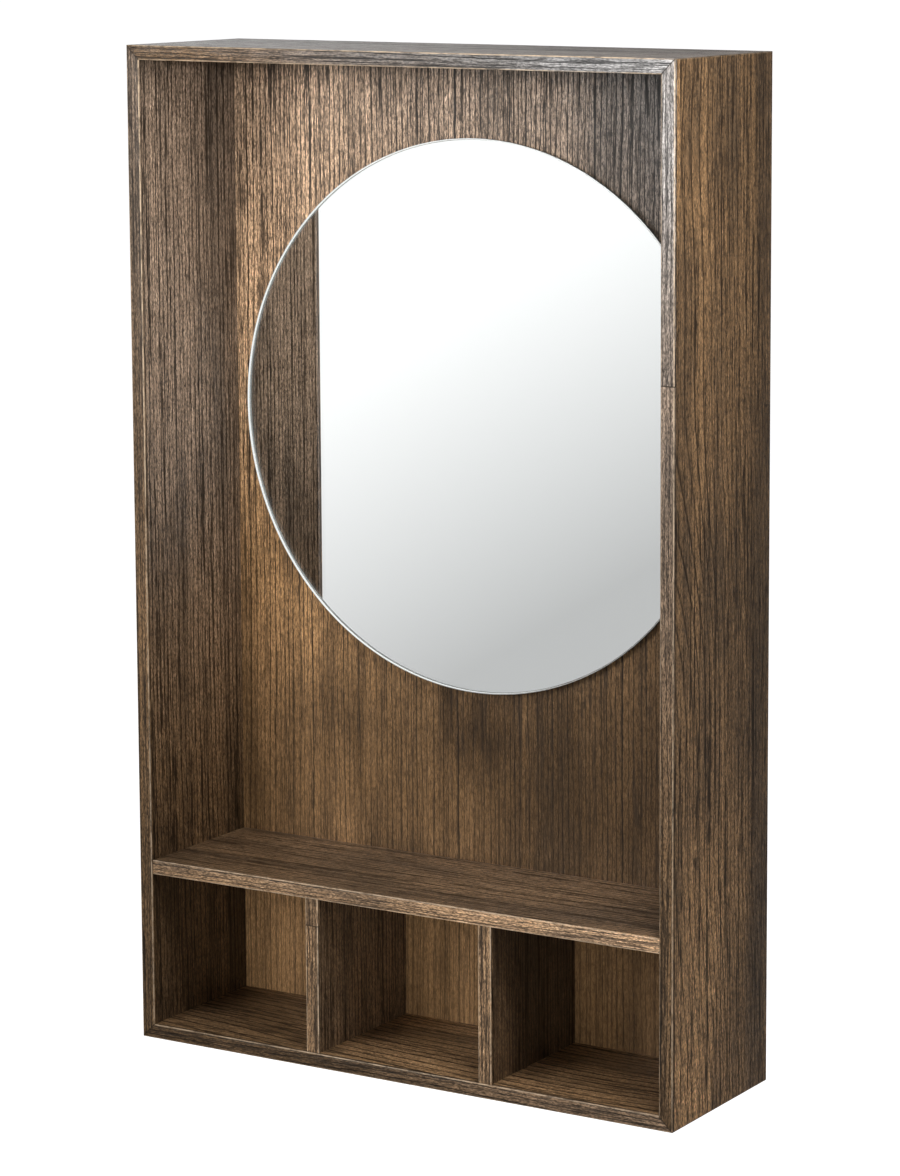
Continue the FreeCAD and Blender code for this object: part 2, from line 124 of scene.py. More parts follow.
class Workpiece:
    """One solid on the bench, shaped with the modelling operators from a simple blank."""

    def __init__(self, name: str, box: Sequence[Vector], corners: int = 0) -> None:
        """Start from a blank that fills a box, and rest its place in its mesh.

        Args:
            name: The name of the finished piece.
            box: The lowest and the highest corner of the blank.
            corners: How many corners the rim of a round blank has, facing forward; 0 for a rectangular one.
        """
        bpy.ops.object.select_all(action="DESELECT")
        middle, size = (box[0] + box[1]) / 2, box[1] - box[0]
        if corners:
            bpy.ops.mesh.primitive_cylinder_add(vertices=corners, radius=size.x / 2, depth=size.y,
                                                location=middle, rotation=(math.pi / 2, 0, 0))
        else:
            bpy.ops.mesh.primitive_cube_add(size=1.0, location=middle, scale=size)
        self.piece = bpy.context.active_object
        self.piece.name = name
        self.piece.data.name = name
        bpy.ops.object.transform_apply(location=True, rotation=True, scale=True)

    def take_up(self) -> None:
        """Make this the only piece that is selected."""
        bpy.ops.object.select_all(action="DESELECT")
        self.piece.select_set(True)
        bpy.context.view_layer.objects.active = self.piece

    @contextmanager
    def picked(self, elements: str, wanted: Test) -> Iterator[None]:
        """Open the mesh for editing, with the elements that pass a test selected.

        Args:
            elements: What is picked: EDGE or FACE.
            wanted: The test, given an edge's two ends or a face's centre and normal.

        Yields:
            Nothing; the mesh is open until the block ends.
        """
        self.take_up()
        bpy.ops.object.mode_set(mode="EDIT")
        bpy.ops.mesh.select_mode(type=elements)
        bpy.ops.mesh.select_all(action="DESELECT")
        mesh = bmesh.from_edit_mesh(self.piece.data)
        if elements == "EDGE":
            found = [edge for edge in mesh.edges if wanted(edge.verts[0].co, edge.verts[1].co)]
        else:
            found = [face for face in mesh.faces if wanted(face.calc_center_median(), face.normal)]
        for element in found:
            element.select_set(True)
        bmesh.update_edit_mesh(self.piece.data)
        yield
        bpy.ops.object.mode_set(mode="OBJECT")

    def saw(self, point: Sequence[float], normal: Sequence[float], keep_both: bool = False) -> None:
        """Cut the piece with a plane, and close the cut unless both sides are kept.

        Args:
            point: A point on the plane.
            normal: The plane's normal; what lies on that side falls away.
            keep_both: Only score a line round the piece.
        """
        with self.picked("FACE", lambda centre, facing: True):
            bpy.ops.mesh.bisect(plane_co=point, plane_no=normal, use_fill=not keep_both,
                                clear_outer=not keep_both, threshold=SAW_SNAP)

    def ease(self, wanted: Test, width: float, segments: int = 1) -> None:
        """Round or chamfer some of the edges.

        Args:
            wanted: Which edges, by their two ends.
            width: How far the rounding reaches along each face.
            segments: How many faces the rounding is made of.
        """
        with self.picked("EDGE", wanted):
            bpy.ops.mesh.bevel(offset=width, segments=segments, profile=0.5, affect="EDGES")

    def ease_the_rest(self, width: float, sharper_than: float = 50.0) -> None:
        """Break every edge that is still sharp with one fine chamfer.

        Args:
            width: How far the chamfer reaches along each face.
            sharper_than: The smallest angle between faces, in degrees, that counts as sharp.
        """
        broken = self.piece.modifiers.new("broken_edges", "BEVEL")
        broken.width = width
        broken.segments = 1
        broken.limit_method = "ANGLE"
        broken.angle_limit = math.radians(sharper_than)
        self.take_up()
        bpy.ops.object.modifier_apply(modifier=broken.name)

    def finish(self, wanted: Test, slot: int, border: float = 0.0) -> None:
        """Give some of the faces another finish, all but a border round each.

        Args:
            wanted: Which faces, by centre and normal.
            slot: Their new material slot.
            border: The width of the border that keeps the old one.
        """
        with self.picked("FACE", wanted):
            if border:
                bpy.ops.mesh.inset(thickness=border, use_individual=True)
            mesh = bmesh.from_edit_mesh(self.piece.data)
            for face in mesh.faces:
                if face.select:
                    face.material_index = slot
            bmesh.update_edit_mesh(self.piece.data)

    def plough(self, wanted: Test, depth: Vector) -> None:
        """Sink some of the faces into the piece, as a groove.

        Args:
            wanted: Which faces, by centre and normal.
            depth: How far and which way they move.
        """
        with self.picked("FACE", wanted):
            bpy.ops.mesh.extrude_region_move(TRANSFORM_OT_translate={"value": depth})

    def smooth(self, sharper_than: float = 35.0) -> None:
        """Shade smoothly across all but the sharper edges, in degrees."""
        self.take_up()
        bpy.ops.object.shade_smooth_by_angle(angle=math.radians(sharper_than))

    def stand_for(self, node: str, slot: str, *finishes: Material) -> Piece:
        """Dress the piece, and let it take the place of one node of the frame.

        Args:
            node: The node that it replaces.
            slot: The record's material slot for its finish; not used.
            finishes: Its materials, in slot order.

        Returns:
            The finished piece.
        """
        for finish in finishes:
            self.piece.data.materials.append(finish)
        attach(self.piece, BODY)
        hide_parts(node)
        LOG.info("%s stands for %s, %d faces", self.piece.name, node, len(self.piece.data.polygons))
        return self.piece


# ---- node graphs ----


class Graph:
    """Adds nodes to one node tree and joins them as they are added."""

    def __init__(self, tree: bpy.types.NodeTree) -> None:
        """Work on this tree."""
        self.tree = tree

    def set(self, socket: Socket, value: object) -> None:
        """Feed a socket.

        Args:
            socket: The input to feed.
            value: Another socket, or a number, vector or colour; None leaves it as it is.
        """
        if isinstance(value, Socket):
            self.tree.links.new(value, socket)
        elif value is not None:
            is_colour = socket.type == "RGBA" and len(value) == 3
            socket.default_value = (*value, 1.0) if is_colour else value

    def add(self, kind: str, inputs: dict | None = None, **settings: object) -> bpy.types.Node:
        """Add a node.

        Args:
            kind: The node's type, without the ShaderNode prefix.
            inputs: What feeds its inputs, by name or number.
            settings: Its own settings.

        Returns:
            The node.
        """
        node = self.tree.nodes.new("ShaderNode" + kind)
        for name, value in settings.items():
            setattr(node, name, value)
        for name, value in (inputs or {}).items():
            self.set(node.inputs[name], value)
        return node

    def group(self, tree: bpy.types.NodeTree, inputs: dict) -> Outputs:
        """Place a node group, feed its inputs by name, and return its outputs."""
        return self.add("Group", inputs, node_tree=tree).outputs

    def math(self, operation: str, a: object, b: object = None, clamp: bool = False) -> Socket:
        """The result of one sum on one or two numbers or sockets."""
        return self.add("Math", {0: a, 1: b}, operation=operation, use_clamp=clamp).outputs[0]

    def times(self, *factors: object) -> Socket:
        """The product of numbers or sockets."""
        return reduce(lambda a, b: self.math("MULTIPLY", a, b), factors)

    def plus(self, *terms: object) -> Socket:
        """The sum of numbers or sockets."""
        return reduce(lambda a, b: self.math("ADD", a, b), terms)

    def minus(self, a: object, b: object) -> Socket:
        """What is left of a without b."""
        return self.math("SUBTRACT", a, b)

    def over(self, a: object, b: object) -> Socket:
        """A divided by b."""
        return self.math("DIVIDE", a, b)

    def most(self, *values: object) -> Socket:
        """The greatest of numbers or sockets."""
        return reduce(lambda a, b: self.math("MAXIMUM", a, b), values)

    def vector(self, operation: str, a: object, b: object = None) -> Socket:
        """The result of one vector sum."""
        node = self.add("VectorMath", {0: a, 1: b}, operation=operation)
        return node.outputs["Value" if operation in ("DOT_PRODUCT", "LENGTH") else "Vector"]

    def combine(self, x: object, y: object, z: object) -> Socket:
        """A vector of three numbers or sockets."""
        return self.add("CombineXYZ", {0: x, 1: y, 2: z}).outputs[0]

    def split(self, vector: object) -> Outputs:
        """The three numbers of a vector."""
        return self.add("SeparateXYZ", {0: vector}).outputs

    def noise(self, place: object, detail: float = 2.0, roughness: float = 0.5) -> Socket:
        """Smooth noise, about 0 to 1, with one lump to a unit of place."""
        inputs = {"Vector": place, "Scale": 1.0, "Detail": detail, "Roughness": roughness}
        return self.add("TexNoise", inputs).outputs["Fac"]

    def lumps(self, place: object, fine: float, detail: float = 2.0, roughness: float = 0.5) -> Socket:
        """Smooth noise with so many lumps to a metre."""
        return self.noise(self.vector("MULTIPLY", place, (fine, fine, fine)), detail, roughness)

    def chance(self, number: object) -> Socket:
        """A value of its own for each whole number."""
        return self.add("TexWhiteNoise", {"W": number}, noise_dimensions="1D").outputs["Value"]

    def ramp(self, value: object, low: float, high: float, start: object = 0.0, end: object = 1.0) -> Socket:
        """A soft step from start to end as value goes from low to high."""
        inputs = {"Value": value, "From Min": low, "From Max": high, "To Min": start, "To Max": end}
        return self.add("MapRange", inputs, interpolation_type="SMOOTHSTEP").outputs[0]

    def blend(self, share: object, a: object, b: object, how: str = "MIX") -> Socket:
        """Mix two colours.

        Args:
            share: How much of b there is, 0 to 1.
            a: The first colour.
            b: The second colour.
            how: The way in which b is laid over a.

        Returns:
            The mixed colour.
        """
        node = self.add("Mix", data_type="RGBA", blend_type=how)
        for place, value in ((0, share), (6, a), (7, b)):
            self.set(node.inputs[place], value)
        return node.outputs[2]

    def lerp(self, share: object, a: object, b: object) -> Socket:
        """A number between a and b."""
        return self.add("Mix", {0: share, 2: a, 3: b}, data_type="FLOAT").outputs[0]

    def shade(self, colour: Socket, factor: Socket) -> Socket:
        """A colour made lighter or darker."""
        return self.blend(1.0, colour, self.combine(factor, factor, factor), "MULTIPLY")


class GroupMaker(Graph):
    """Starts a shader node group with named inputs and outputs."""

    KINDS = {1: "Float", 3: "Vector", 4: "Color"}

    def __init__(self, name: str, inputs: dict[str, tuple[float, ...]], outputs: dict[str, str]) -> None:
        """Make the empty group.

        Args:
            name: The group's name.
            inputs: Each input's starting value, by name: one number, a vector's three or a colour's four.
            outputs: Each output's socket type, by name.
        """
        super().__init__(bpy.data.node_groups.new(name, "ShaderNodeTree"))
        new_socket = self.tree.interface.new_socket
        for title, value in inputs.items():
            socket = new_socket(title, in_out="INPUT", socket_type="NodeSocket" + self.KINDS[len(value)])
            socket.default_value = value[0] if len(value) == 1 else value
        for title, kind in outputs.items():
            new_socket(title, in_out="OUTPUT", socket_type="NodeSocket" + kind)
        self.given = self.tree.nodes.new("NodeGroupInput").outputs
        self.outputs = self.tree.nodes.new("NodeGroupOutput").inputs

    def put_out(self, **results: Socket) -> bpy.types.NodeTree:
        """Join the results to the outputs of the same names.

        Args:
            results: What feeds each output.

        Returns:
            The node group.
        """
        for title, result in results.items():
            self.set(self.outputs[title], result)
        return self.tree


class MaterialMaker(Graph):
    """Starts a material, and feeds its surface."""

    def __init__(self, name: str) -> None:
        """Make the plain material.

        Args:
            name: Its name.
        """
        self.material = bpy.data.materials.new(name)
        self.material.use_nodes = True
        super().__init__(self.material.node_tree)

    def place(self) -> Socket:
        """The point on the piece."""
        return self.add("TexCoord").outputs["Object"]

    def surface(self, looks: dict[str, object], relief: Socket | None = None, strength: float = 0.5,
                height: float = 0.0001) -> Material:
        """Feed the surface.

        Args:
            looks: What feeds the inputs of the Principled BSDF, by name.
            relief: The shape of its fine relief.
            strength: How strongly the relief shows.
            height: How high the relief is.

        Returns:
            The material.
        """
        inputs = self.tree.nodes["Principled BSDF"].inputs
        for name, value in looks.items():
            self.set(inputs[name], value)
        if relief:
            bump = self.add("Bump", {"Height": relief, "Strength": strength, "Distance": height})
            self.set(inputs["Normal"], bump.outputs[0])
        return self.material


# ---- shared effects ----


def open_grain_group() -> bpy.types.NodeTree:
    """The figure of ring-porous wood cut from a log, as a stained and sanded surface shows it, with painted
    glints of its satin finish.

    Place is the point in the board's own directions: across, into the face, and along the grain.

    Returns:
        The node group.
    """
    g = GroupMaker(
        "open_grain",
        {
            "Place": (0.0, 0.0, 0.0), "Log": (0.0,), "Pith Across": (0.0,), "Pith Depth": (0.05,),
            "Tilt": (0.04,), "Ring Width": (0.003,), "Leaf Start": (-5.0,), "Leaf Width": (10.0,),
            "Warm": (0.2, 0.11, 0.06, 1.0), "Cool": (0.12, 0.09, 0.07, 1.0),
            "Dark": (0.02, 0.012, 0.008, 1.0), "Cool Share": (0.5,), "Contrast": (1.0,),
            "Contrast Rise": (0.0,), "Line Share": (1.5,),
        },
        {"Color": "Color", "Roughness": "Float", "Height": "Float"},
    )
    given = g.given
    across, into, along = g.split(given["Place"])
    contrast = g.most(g.plus(given["Contrast"], g.times(along, given["Contrast Rise"])), 0.15)

    # Each veneer leaf comes from its own stretch of the log.
    leaf = g.math("FLOOR", g.over(g.minus(across, given["Leaf Start"]), given["Leaf Width"]))
    along = g.plus(along, given["Log"], g.times(leaf, 3.3))
    leaf_tone = g.chance(g.plus(leaf, given["Log"]))

    def stretched(fine: float, length: float, a: object = across, b: object = into) -> Socket:
        """Place with so many lumps to a metre across the grain, and so many along it."""
        return g.combine(g.times(a, fine), g.times(b, fine), g.times(along, length))

    def centred(value: object, reach: float) -> Socket:
        """Noise turned into a shift of up to about half of reach each way."""
        return g.times(g.minus(value, 0.5), reach)

    # The grain wanders slowly, wavers more quickly, and is ragged where pores cross it.
    wander = centred(g.noise(stretched(3.0, 1.3), 1.0), 0.024)
    waver = centred(g.noise(stretched(30.0, 10.0), 1.0), 0.0034)
    ragged = centred(g.noise(stretched(240.0, 90.0), 1.0), 0.0016)
    shifted = g.plus(g.plus(across, wander), g.plus(waver, ragged))
    bulge = centred(g.noise(stretched(2.4, 2.2), 1.0), 0.036)
    depth = g.plus(g.plus(into, given["Pith Depth"]), g.plus(g.times(along, given["Tilt"]), bulge))
    radius = g.vector("LENGTH", g.combine(g.minus(shifted, given["Pith Across"]), depth, 0.0))

    # Growth rings, each with its own width and darkness.
    uneven = g.noise(g.combine(g.times(radius, 70.0), 3.7, leaf), 1.0)
    turn = g.plus(g.over(radius, given["Ring Width"]), centred(uneven, 1.8))
    phase = g.math("FRACT", turn)
    own = g.chance(g.math("FLOOR", turn))
    broken = g.ramp(g.noise(stretched(420.0, 40.0), 2.0, 0.6), 0.28, 0.48, 0.50, 1.0)
    line = g.times(g.ramp(phase, 0.0, 0.05), g.ramp(phase, 0.10, 0.27, 1.0, 0.0), broken,
                   g.lerp(own, 0.55, 1.0))
    early = g.times(g.ramp(phase, 0.0, 0.1), g.ramp(phase, 0.3, 0.9, 1.0, 0.0))

    # Open pores are dark dashes, dense in the early wood; long fine streaks run between the rings.
    pores = g.ramp(g.noise(stretched(900.0, 60.0), 2.0, 0.6), 0.50, 0.62)
    pores = g.times(pores, g.lerp(early, 0.5, 1.0))
    streak = g.ramp(g.noise(stretched(400.0, 5.0), 3.0, 0.65), 0.53, 0.59)
    streak = g.times(streak, g.ramp(g.noise(stretched(500.0, 44.0), 1.0), 0.34, 0.52, 0.2, 1.0))
    # Painted highlights: glints of the satin finish on raised fibres, brightened into the colour with a cool
    # tint.
    painted_glint = g.ramp(g.noise(stretched(1000.0, 80.0, into, across), 2.0, 0.6), 0.52, 0.64)
    fibre = g.noise(stretched(1500.0, 300.0), 2.0, 0.7)

    # The stain took unevenly: long bands, and broad clouds.
    bands = g.noise(stretched(40.0, 1.4), 2.0, 0.6)
    clouds = g.noise(stretched(9.0, 4.0), 3.0, 0.55)
    tone = g.plus(g.times(bands, 0.45), g.times(clouds, 0.55))
    tone = g.plus(tone, centred(given["Cool Share"], 1.0), centred(leaf_tone, 0.12))
    ground = g.blend(g.ramp(tone, 0.30, 0.70), given["Warm"], given["Cool"])
    deeper = g.ramp(g.plus(clouds, centred(bands, 0.7)), 0.34, 0.68, 1.22, 0.66)
    speckle = g.times(g.ramp(fibre, 0.36, 0.64, -0.62, 0.62), g.math("MINIMUM", contrast, 1.1))
    ground = g.shade(ground, g.times(deeper, g.plus(speckle, 1.0)))
    glint_colour = g.blend(1.0, ground, (2.0, 2.15, 2.4), "MULTIPLY")
    colour = g.blend(g.times(painted_glint, 0.50, contrast), ground, glint_colour)
    for mark, share in ((pores, 0.62), (streak, 0.78), (line, given["Line Share"])):
        colour = g.blend(g.math("MULTIPLY", g.times(mark, share), contrast, True), colour, given["Dark"])

    open_wood = g.most(pores, g.most(streak, line))
    roughness = g.plus(g.ramp(fibre, 0.2, 0.8, 0.26, 0.38), g.times(open_wood, 0.22))
    height = g.minus(g.times(fibre, 0.4), g.times(open_wood, 0.8))
    return g.put_out(Color=colour, Roughness=roughness, Height=height)


BOXED = {"Place": (0.0, 0.0, 0.0), "Low": (0.0, 0.0, 0.0), "High": (1.0, 1.0, 1.0)}


def off_box(g: GroupMaker) -> Outputs:
    """How far Place is inside the box from Low to High, on each axis."""
    place, low, high = (g.given[name] for name in ("Place", "Low", "High"))
    return g.split(g.vector("MINIMUM", g.vector("SUBTRACT", place, low), g.vector("SUBTRACT", high, place)))


def sanded_arris_highlight_group() -> bpy.types.NodeTree:
    """Where a board's long corners were sanded through and get a painted highlight: 1 on an arris, 0 a little
    way from it.

    Returns:
        The node group.
    """
    g = GroupMaker("sanded_arris_highlight", BOXED | {"Reach": (0.0012,)}, {"Mask": "Float"})
    x, y, z = [g.ramp(g.over(distance, g.given["Reach"]), 0.1, 1.0, 1.0, 0.0) for distance in off_box(g)]
    corner = g.most(g.times(x, y), g.most(g.times(y, z), g.times(z, x)))
    sanded_and_lit = g.lumps(g.given["Place"], 90.0, 3.0, 0.7)
    return g.put_out(Mask=g.times(corner, g.ramp(sanded_and_lit, 0.34, 0.62, 0.25, 1.0)))


def joint_line_group() -> bpy.types.NodeTree:
    """Dark stain caught in the joints: the mitres, the seam behind the front strips and a butt joint.

    Low and High are the whole cabinet's corners, and the mitres lie where a point is as far from the
    nearer side as from the nearer end. Seam is a depth, and Butt is a height.

    Returns:
        The node group.
    """
    g = GroupMaker("joint_line", BOXED | {"Seam": (0.0,), "Butt": (NO_BUTT,), "Width": (0.0007,)},
                   {"Mask": "Float"})
    side, _, end = off_box(g)
    _, depth, height = g.split(g.given["Place"])

    def line(a: object, b: object, core: float, rim: float) -> Socket:
        """A line where a and b are the same, from its core to its rim in widths."""
        apart = g.math("ABSOLUTE", g.minus(a, b))
        return g.ramp(g.over(apart, g.given["Width"]), core, rim, 1.0, 0.0)

    near_corner = g.ramp(g.most(side, end), BOARD, BOARD + 0.5 * MM, 1.0, 0.0)
    straight = g.most(line(depth, g.given["Seam"], 0.4, 1.2), line(height, g.given["Butt"], 0.4, 1.2))
    return g.put_out(Mask=g.most(g.times(line(side, end, 0.5, 1.6), near_corner), straight))


OPEN_GRAIN = open_grain_group()
SANDED_ARRIS_HIGHLIGHT = sanded_arris_highlight_group()
JOINT_LINE = joint_line_group()
SEAM_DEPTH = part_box("lipping_left")[1].y
NO_SANDED_HIGHLIGHT = (Vector((-9.0, -9.0, -9.0)), Vector((9.0, 9.0, 9.0)))


# ---- finishes ----


@dataclass(frozen=True)
class Cut:
    """How one board was cut from its log.

    Attributes:
        along: Which way the grain runs.
        face: Which way the broad face looks.
        log: Where in the log it lies, which sets its own figure.
        pith_across: How far to one side of the board's middle the log's heart lies.
        pith_depth: How far behind the face the heart lies.
        tilt: How much deeper the heart lies for each metre along the board.
    """

    along: Along
    face: Face
    log: float
    pith_across: float = 0.2
    pith_depth: float = 0.1
    tilt: float = 0.0

    def across_axis(self) -> int:
        """The axis that the grain and the broad face leave over."""
        return 3 - self.along.value - self.face.value

    def turn(self) -> Matrix:
        """The rotation from the cabinet's directions to across, into the face, and along."""
        ways = (self.along.value, self.face.value)
        along, into = (Vector([float(axis == way) for axis in range(3)]) for way in ways)
        return Matrix((into.cross(along), into, along))

    def figure(self, g: Graph, place: Socket, middle: Vector, **looks: object) -> Outputs:
        """The grain that this cut shows.

        Args:
            g: The graph to add to.
            place: The point on the board.
            middle: The board's middle, or the point that the log's measures start from.
            looks: The other inputs of the grain, with their spaces as underscores.

        Returns:
            The outputs of the grain.
        """
        turn = self.turn()
        board = g.add("Mapping", {"Vector": place, "Location": -(turn @ middle), "Rotation": turn.to_euler()})
        cut = {"Place": board.outputs[0], "Log": self.log, "Pith Across": self.pith_across,
               "Pith Depth": self.pith_depth, "Tilt": self.tilt}
        return g.group(OPEN_GRAIN, cut | {name.replace("_", " "): value for name, value in looks.items()})


@dataclass(frozen=True)
class StainedWood:
    """Open-grain wood, stained dark, sanded back on its arrises and finished with satin oil, with painted
    light and shade in its colour.

    Attributes:
        warm: The stain where it took thinly.
        cool: The stain where it took greyer.
        dark: The stain in pores and early wood.
        sanded_highlight_colour: The wood where an arris is rubbed through, made light enough to paint the
            arris highlight too.
        paleness: How pale the whole colour is at places along the board, from 0 at its start to 1 at its end;
            partly the stain's own unevenness, partly painted light and shade.
        crossways: The same across the board, on the axis that its broad face and its grain leave over.
        vivid: How rich the colour is where no sheen grey is painted.
        painted_sheen: How grey the colour is painted at places along the board, as the grey veil of the satin
            sheen, from 0 for not at all to 1.
        painted_sheen_crossways: The same across the board; the two are multiplied.
        cool_share: How much of the surface is cool, about 0 to 1.
        contrast: How strongly the figure shows.
        contrast_rise: How much more strongly it shows for each metre along the board.
        line_share: How dark the lines between the growth rings are.
        ring_width: The usual width of a growth ring.
        leaves: Where the first veneer leaf starts from the board's middle, and how wide a leaf is.
        smudge: Where the stain pooled in a dark cloud, as a distance to the right and a height.
        smudge_reach: How far that cloud reaches.
        sanded_highlight_share: How strongly the arrises are rubbed and painted with a highlight.
        sanded_highlight_reach: How far from an arris the rubbing and the painted highlight reach.
        caught: How much stain the joints caught.
    """

    warm: Colour = (0.236, 0.137, 0.064)
    cool: Colour = (0.160, 0.106, 0.064)
    dark: Colour = (0.016, 0.010, 0.006)
    sanded_highlight_colour: Colour = srgb(215, 190, 160)
    paleness: Profile = ((0, 1),)
    crossways: Profile = ((0, 1),)
    vivid: float = 0.98
    painted_sheen: Profile = ((0, 0),)
    painted_sheen_crossways: Profile = ((0, 1),)
    cool_share: float = 0.32
    contrast: float = 1.0
    contrast_rise: float = 0.0
    line_share: float = 1.5
    ring_width: float = 0.0046
    leaves: tuple[float, float] = (-5.0, 10.0)
    smudge: tuple[float, float] | None = None
    smudge_reach: float = 0.055
    sanded_highlight_share: float = 0.8
    sanded_highlight_reach: float = 0.0014
    caught: float = 0.75

    def material(self, member: "Member", arrises: tuple[Vector, Vector]) -> Material:
        """Make this finish for one board or strip.

        Args:
            member: The board or strip.
            arrises: The corners of the box whose arrises are rubbed and painted with highlights.

        Returns:
            The material.
        """
        g = MaterialMaker(member.piece)
        place = g.place()
        low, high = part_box(member.node)
        figure = member.cut.figure(
            g, place, (low + high) / 2, Ring_Width=self.ring_width, Leaf_Start=self.leaves[0],
            Leaf_Width=self.leaves[1], Warm=self.warm, Cool=self.cool, Dark=self.dark,
            Cool_Share=self.cool_share, Contrast=self.contrast, Contrast_Rise=self.contrast_rise,
            Line_Share=self.line_share)
        arris = g.group(SANDED_ARRIS_HIGHLIGHT, {"Place": place, "Low": arrises[0], "High": arrises[1],
                                       "Reach": self.sanded_highlight_reach})
        joint = g.group(JOINT_LINE, {"Place": place, "Low": FRAME_BOX[0], "High": FRAME_BOX[1],
                                     "Seam": SEAM_DEPTH, "Butt": member.butt})
        # Paleness: the stain's own unevenness together with painted light and shade. Greying: the satin
        # sheen's grey veil, painted.
        paleness_and_painted_light = self.stain_and_painted_light(g, place, member, (self.paleness, self.crossways))
        painted_grey_veil = self.stain_and_painted_light(g, place, member, (self.painted_sheen, self.painted_sheen_crossways))
        rich = g.minus(self.vivid, g.times(painted_grey_veil, self.vivid))
        colour = g.add("HueSaturation", {"Color": figure["Color"], "Saturation": rich}).outputs[0]
        colour = g.shade(colour, paleness_and_painted_light)
        if self.smudge:
            colour = g.blend(self.pooled(g, place, low.y), colour, self.dark)
        # Sanded-through arrises, lightened further as painted highlights.
        colour = g.blend(g.times(arris["Mask"], self.sanded_highlight_share), colour, self.sanded_highlight_colour)
        colour = g.blend(g.times(joint["Mask"], self.caught), colour, self.dark)
        looks = {"Base Color": colour, "Roughness": figure["Roughness"], "Specular IOR Level": 0.5}
        return g.surface(looks, figure["Height"], 0.6, 0.00025)

    def pooled(self, g: Graph, place: Socket, front: float) -> Socket:
        """How much stain pooled in the smudge, which is in the front face only.

        Args:
            g: The graph to add to.
            place: The point on the board.
            front: The depth of the board's front face.

        Returns:
            The share of dark stain, 0 to about a half.
        """
        centre = (self.smudge[0], front, self.smudge[1])
        offset = g.vector("MULTIPLY", g.vector("SUBTRACT", place, centre), (1.0, 30.0, 0.7))
        ragged = g.noise(g.vector("MULTIPLY", place, (60.0, 60.0, 22.0)), 3.0, 0.6)
        distance = g.over(g.vector("LENGTH", offset), self.smudge_reach)
        return g.ramp(g.plus(distance, g.times(g.minus(ragged, 0.5), 1.6)), 0.05, 0.95, 0.55, 0.0)

    def stain_and_painted_light(self, g: Graph, place: Socket, member: "Member", profiles: Sequence[Profile]) -> Socket:
        """How the stain's uneven wiping and the painted light, shade and sheen change the colour from place
        to place.

        Args:
            g: The graph to add to.
            place: The point on the board.
            member: The board.
            profiles: The change along the grain and across it, at places from 0 to 1.

        Returns:
            The product of both changes.
        """
        factor: object = 1.0
        low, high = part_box(member.node)
        run = g.split(place)
        for axis, profile in zip((member.cut.along.value, member.cut.across_axis()), profiles):
            share = g.add("MapRange", {"Value": run[axis], "From Min": low[axis], "From Max": high[axis]})
            ramp = g.add("ValToRGB", {0: share.outputs[0]})
            stops = ramp.color_ramp.elements
            ramp.color_ramp.interpolation = "EASE"
            stops.remove(stops[1])
            top = max(0.001, *(level for _, level in profile))
            for number, (position, level) in enumerate(profile):
                stop = stops[0] if number == 0 else stops.new(position)
                stop.position = position
                stop.color = (level / top, level / top, level / top, 1.0)
            factor = g.times(g.times(ramp.outputs[0], top), factor)
        return factor


@dataclass(frozen=True)
class Member:
    """One board or strip of the cabinet.

    Attributes:
        node: The node of the frame that it stands for.
        piece: Its own name.
        cut: How it was cut.
        wood: Its finish.
        butt: The height of a butt joint at one of its ends.
    """

    node: str
    piece: str
    cut: Cut
    wood: StainedWood
    butt: float = NO_BUTT

    def upright(self) -> bool:
        """Whether its grain runs up and down."""
        return self.cut.along is Along.HEIGHT

    def blank(self) -> Workpiece:
        """A rectangular blank of its size, in its place."""
        return Workpiece(self.piece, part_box(self.node))


@dataclass(frozen=True)
class PressedCore:
    """The raw pressed core of a board, as its rear edge shows it between the veneers."""

    light: Colour = srgb(172, 140, 104)
    dark: Colour = srgb(124, 94, 66)

    def material(self) -> Material:
        """Make this finish.

        Returns:
            The material.
        """
        g = MaterialMaker("pressed_core")
        place = g.place()
        fine = g.lumps(place, 1400.0, 3.0, 0.7)
        mottled = g.plus(g.times(fine, 0.6), g.times(g.lumps(place, 240.0), 0.4))
        looks = {"Base Color": g.blend(g.ramp(mottled, 0.35, 0.65), self.dark, self.light),
                 "Roughness": g.ramp(fine, 0.3, 0.7, 0.75, 0.92)}
        return g.surface(looks, fine, 0.5, 0.0002)


@dataclass(frozen=True)
class PaleWood:
    """Raw planed wood of the hidden pieces: rails, dowels and tongues.

    Attributes:
        light: The late wood.
        dark: The early wood.
        ring_width: The width of a growth ring.
        contrast: How strongly the figure shows.
        dryness: How much rougher it is than oiled wood.
    """

    light: Colour = srgb(206, 172, 126)
    dark: Colour = srgb(166, 122, 78)
    ring_width: float = 0.0045
    contrast: float = 0.55
    dryness: float = 0.2

    def material(self, name: str, cut: Cut) -> Material:
        """Make this finish for one kind of piece.

        Args:
            name: The material's name.
            cut: How the piece was cut.

        Returns:
            The material.
        """
        g = MaterialMaker(name)
        figure = cut.figure(g, g.place(), Vector(), Ring_Width=self.ring_width, Warm=self.light,
                            Cool=self.light, Dark=self.dark, Cool_Share=0.4, Contrast=self.contrast)
        looks = {"Base Color": figure["Color"], "Roughness": g.plus(figure["Roughness"], self.dryness)}
        return g.surface(looks, figure["Height"], 0.4, 0.0002)


def faintly_uneven(name: str, shades: Sequence[Colour], fine: float, looks: dict[str, float]) -> Material:
    """A perfectly smooth finish, with just a breath of unevenness in its colour.

    Args:
        name: The material's name.
        shades: The two colours that it varies between.
        fine: How many lumps there are to a metre.
        looks: The other inputs of its surface.

    Returns:
        The material.
    """
    g = MaterialMaker(name)
    colour = g.blend(g.lumps(g.place(), fine, 1.0), *shades)
    return g.surface({"Base Color": colour, "Roughness": 0.0, **looks})


